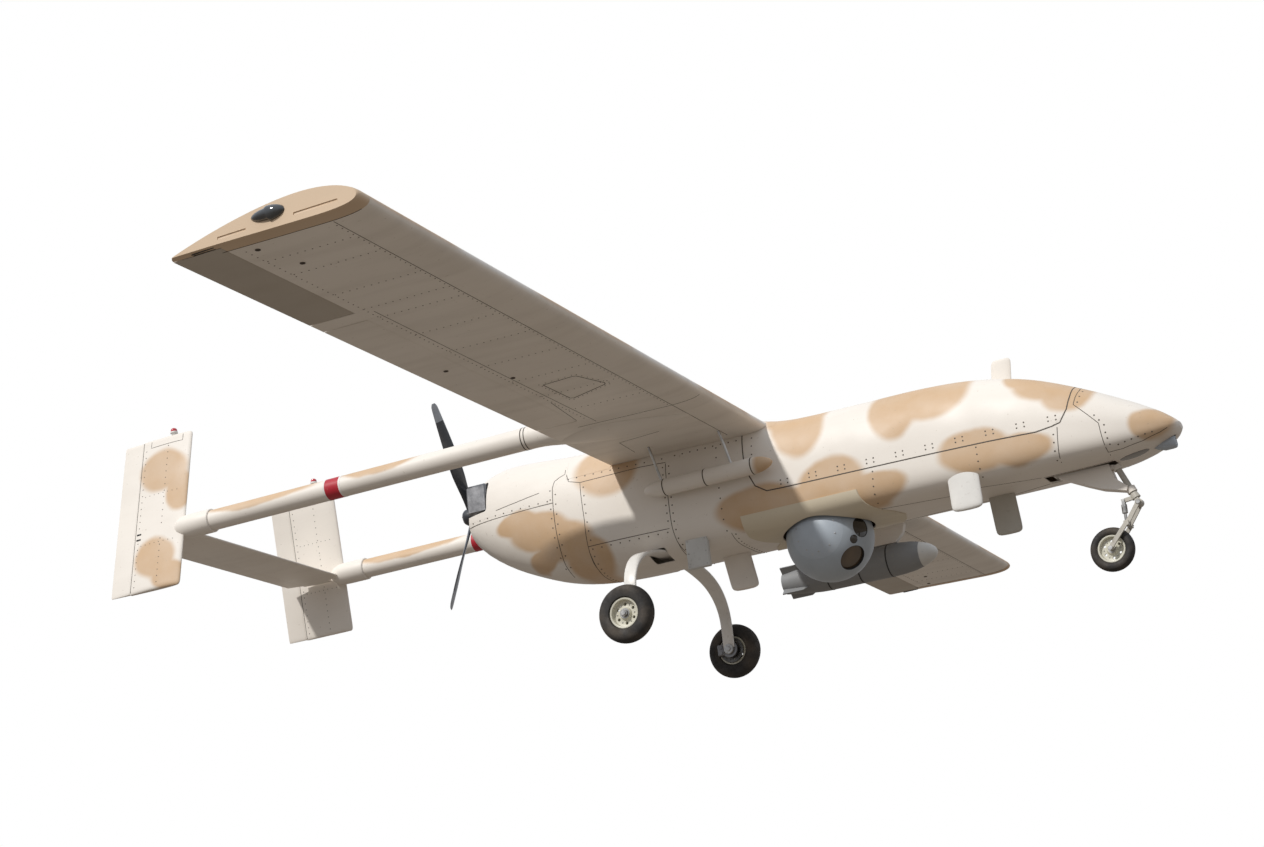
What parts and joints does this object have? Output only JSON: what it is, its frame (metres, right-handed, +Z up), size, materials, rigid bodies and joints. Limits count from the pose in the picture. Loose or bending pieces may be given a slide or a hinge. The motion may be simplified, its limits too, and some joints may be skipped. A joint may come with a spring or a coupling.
{
  "type": "fixed wing drone",
  "caption": "Twin-boom pusher drone: straight high wing, canted fins joined by a tailplane, sensor ball under the belly and fixed wheeled landing gear.",
  "frame": {"origin": "on the ground plane, at mid length and mid span", "axes": "+X forward to the nose, +Y to port along the wing, +Z up"},
  "size_m": [6.0938, 8.554, 1.862],
  "materials": {
    "engine_cowl_upper": "satin sand paint over composite skin, with tan patches",
    "engine_cowl_lower": "satin sand paint over composite skin, with tan patches",
    "nose_cone": "satin sand paint over composite skin, with tan patches",
    "nose_camera": "dark housing with a glass window",
    "payload_bay_cover": "satin sand paint over composite skin, with tan patches",
    "wing_fairing": "satin sand paint over composite skin, with tan patches",
    "fuselage_shell": "satin sand paint over composite skin, with tan patches",
    "engine_mount": "bare plate",
    "payload_deck": "bare plate",
    "turret_fairing": "sandy doubler with rows of rivets",
    "fuel_tank": "moulded tank",
    "flight_computer": "coated case",
    "battery_pack": "black case",
    "wing_centre": "satin sand paint over composite skin, with tan patches",
    "wing_panel_left": "satin sand paint over composite skin, with tan patches",
    "wing_panel_right": "satin sand paint over composite skin, with tan patches",
    "aileron_left": "satin tan-brown paint",
    "aileron_right": "satin tan-brown paint",
    "flap_left": "satin sand paint over composite skin, with tan patches",
    "flap_right": "satin sand paint over composite skin, with tan patches",
    "wing_tip_left": "satin sand paint over composite skin, with tan patches",
    "wing_tip_right": "satin sand paint over composite skin, with tan patches",
    "nav_light_left": "dark lens",
    "nav_light_right": "dark lens",
    "tail_boom_left": "satin sand paint over composite skin, with tan patches",
    "tail_boom_right": "satin sand paint over composite skin, with tan patches",
    "boom_collar_left": "satin sand paint over composite skin, with tan patches",
    "boom_collar_right": "satin sand paint over composite skin, with tan patches",
    "fin_left": "satin sand paint over composite skin, with tan patches",
    "fin_right": "satin sand paint over composite skin, with tan patches",
    "rudder_left": "satin sand paint over composite skin, with tan patches",
    "rudder_right": "satin sand paint over composite skin, with tan patches",
    "fin_beacon_left": "red lens on a grey base",
    "fin_beacon_right": "red lens on a grey base",
    "stabiliser": "satin sand paint over composite skin, with tan patches",
    "elevator": "satin sand paint over composite skin, with tan patches",
    "engine_block": "bare castings with grime",
    "propeller": "black blades with pale tips",
    "turret_window": "dark coated optics window",
    "turret_ball": "satin blue-grey paint",
    "turret_yoke": "satin blue-grey paint",
    "gear_spring": "painted leaf spring",
    "tyre_left": "worn ribbed rubber",
    "tyre_right": "worn ribbed rubber",
    "tyre_nose": "worn ribbed rubber",
    "rim_left": "cream painted rim, dark web",
    "rim_right": "cream painted rim, dark web",
    "rim_nose": "cream painted rim, dark web",
    "nose_gear_bracket": "grey painted fittings",
    "nose_leg": "grey painted fittings",
    "nose_fork": "grey painted fittings",
    "shock_cylinder": "machined steel",
    "shock_rod": "machined steel",
    "top_antenna": "off-white blade",
    "belly_antenna_side": "off-white blade",
    "belly_antenna_front": "satin sand paint over composite skin, with tan patches",
    "belly_antenna_rear": "satin sand paint over composite skin, with tan patches",
    "side_pod": "satin sand paint over composite skin, with tan patches",
    "store": "dull grey-green paint with a pale nose",
    "store_pylon": "satin sand paint over composite skin, with tan patches"
  },
  "bodies": {
    "airframe": {"engine_cowl_upper": "engine_cowl_upper", "engine_cowl_lower": "engine_cowl_lower", "nose_cone": "nose_cone", "nose_camera": "nose_camera", "payload_bay_cover": "payload_bay_cover", "wing_fairing": "wing_fairing", "fuselage_shell": "fuselage_shell", "engine_mount": "engine_mount", "payload_deck": "payload_deck", "turret_fairing": "turret_fairing", "fuel_tank": "fuel_tank", "flight_computer": "flight_computer", "battery_pack": "battery_pack", "wing_centre": "wing_centre", "wing_panel_left": "wing_panel_left", "wing_panel_right": "wing_panel_right", "wing_tip_left": "wing_tip_left", "wing_tip_right": "wing_tip_right", "nav_light_left": "nav_light_left", "nav_light_right": "nav_light_right", "tail_boom_left": "tail_boom_left", "tail_boom_right": "tail_boom_right", "boom_collar_left": "boom_collar_left", "boom_collar_right": "boom_collar_right", "fin_left": "fin_left", "fin_right": "fin_right", "fin_beacon_left": "fin_beacon_left", "fin_beacon_right": "fin_beacon_right", "stabiliser": "stabiliser", "engine_block": "engine_block", "gear_spring": "gear_spring", "nose_gear_bracket": "nose_gear_bracket", "top_antenna": "top_antenna", "belly_antenna_side": "belly_antenna_side", "belly_antenna_front": "belly_antenna_front", "belly_antenna_rear": "belly_antenna_rear", "side_pod": "side_pod", "store": "store", "store_pylon": "store_pylon"},
    "propeller": {"propeller": "propeller"},
    "aileron_right": {"aileron_right": "aileron_right"},
    "aileron_left": {"aileron_left": "aileron_left"},
    "flap_right": {"flap_right": "flap_right"},
    "flap_left": {"flap_left": "flap_left"},
    "rudder_right": {"rudder_right": "rudder_right"},
    "rudder_left": {"rudder_left": "rudder_left"},
    "elevator": {"elevator": "elevator"},
    "turret_yoke": {"turret_yoke": "turret_yoke"},
    "turret_ball": {"turret_ball": "turret_ball", "turret_window": "turret_window"},
    "wheel_right": {"rim_right": "rim_right", "tyre_right": "tyre_right"},
    "wheel_left": {"rim_left": "rim_left", "tyre_left": "tyre_left"},
    "nose_leg": {"nose_leg": "nose_leg"},
    "nose_fork": {"nose_fork": "nose_fork"},
    "shock_cylinder": {"shock_cylinder": "shock_cylinder"},
    "shock_rod": {"shock_rod": "shock_rod"},
    "nose_wheel": {"rim_nose": "rim_nose", "tyre_nose": "tyre_nose"}
  },
  "joints": [
    {"name": "propeller_spin", "type": "hinge", "parent": "airframe", "child": "propeller", "pos_m": [-1.1, 0, 1.11], "axis": [1, 0, 0], "continuous": true},
    {"name": "aileron_right_hinge", "type": "hinge", "parent": "airframe", "child": "aileron_right", "pos_m": [0.18, -3.725, 1.15273], "axis": [0, -1, 0], "range_deg": [-20, 20]},
    {"name": "aileron_left_hinge", "type": "hinge", "parent": "airframe", "child": "aileron_left", "pos_m": [0.18, 3.725, 1.15273], "axis": [0, -1, 0], "range_deg": [-20, 20]},
    {"name": "flap_right_hinge", "type": "hinge", "parent": "airframe", "child": "flap_right", "pos_m": [0.18, -2.125, 1.15273], "axis": [0, -1, 0], "range_deg": [0, 35]},
    {"name": "flap_left_hinge", "type": "hinge", "parent": "airframe", "child": "flap_left", "pos_m": [0.18, 2.125, 1.15273], "axis": [0, -1, 0], "range_deg": [0, 35]},
    {"name": "rudder_right_hinge", "type": "hinge", "parent": "airframe", "child": "rudder_right", "pos_m": [-2.90462, -0.821, 1.3325], "axis": [0.0259, 0.1734, 0.9845], "range_deg": [-25, 25]},
    {"name": "rudder_left_hinge", "type": "hinge", "parent": "airframe", "child": "rudder_left", "pos_m": [-2.90462, 0.821, 1.3325], "axis": [0.0259, -0.1734, 0.9845], "range_deg": [-25, 25]},
    {"name": "elevator_hinge", "type": "hinge", "parent": "airframe", "child": "elevator", "pos_m": [-2.84088, 0, 1.19], "axis": [0, -1, 0], "range_deg": [-25, 25]},
    {"name": "turret_pan", "type": "hinge", "parent": "airframe", "child": "turret_yoke", "pos_m": [1.087, 0, 0.502], "axis": [0, 0, 1], "continuous": true},
    {"name": "turret_tilt", "type": "hinge", "parent": "turret_yoke", "child": "turret_ball", "pos_m": [1.087, 0, 0.502], "axis": [0, 1, 0], "range_deg": [-50, 90]},
    {"name": "nose_steer", "type": "hinge", "parent": "airframe", "child": "nose_leg", "pos_m": [2.69, 0, 0.53], "axis": [-0.3596, 0, 0.9331], "range_deg": [-25, 25]},
    {"name": "nose_fork_pivot", "type": "hinge", "parent": "nose_leg", "child": "nose_fork", "pos_m": [2.769, 0, 0.325], "axis": [0, 1, 0], "range_deg": [0, 12], "stiffness_Nm_per_rad": 2000, "springref_deg": -6.88},
    {"name": "shock_pivot", "type": "hinge", "parent": "nose_leg", "child": "shock_cylinder", "pos_m": [2.69, 0, 0.352], "axis": [0, 1, 0], "range_deg": [-0.5, 11]},
    {"name": "shock_slide", "type": "slide", "parent": "shock_cylinder", "child": "shock_rod", "axis": [0.0345, 0, 0.9994], "range_m": [-0.001, 0.018]},
    {"name": "nose_wheel_spin", "type": "hinge", "parent": "nose_fork", "child": "nose_wheel", "pos_m": [2.592, 0, 0.115], "axis": [0, 1, 0], "continuous": true},
    {"name": "wheel_right_spin", "type": "hinge", "parent": "airframe", "child": "wheel_right", "pos_m": [0.156, -0.701, 0.157], "axis": [0, 1, 0], "continuous": true},
    {"name": "wheel_left_spin", "type": "hinge", "parent": "airframe", "child": "wheel_left", "pos_m": [0.156, 0.701, 0.157], "axis": [0, 1, 0], "continuous": true}
  ],
  "couplings": [
    {"joint": "aileron_left_hinge", "follows": "aileron_right_hinge", "ratio": -1},
    {"joint": "flap_left_hinge", "follows": "flap_right_hinge", "ratio": 1},
    {"joint": "rudder_left_hinge", "follows": "rudder_right_hinge", "ratio": 1},
    {"joint": "shock_pivot", "follows": "nose_fork_pivot", "ratio": 0.83},
    {"joint": "shock_slide", "follows": "nose_fork_pivot", "m_per_rad": 0.0815}
  ]
}
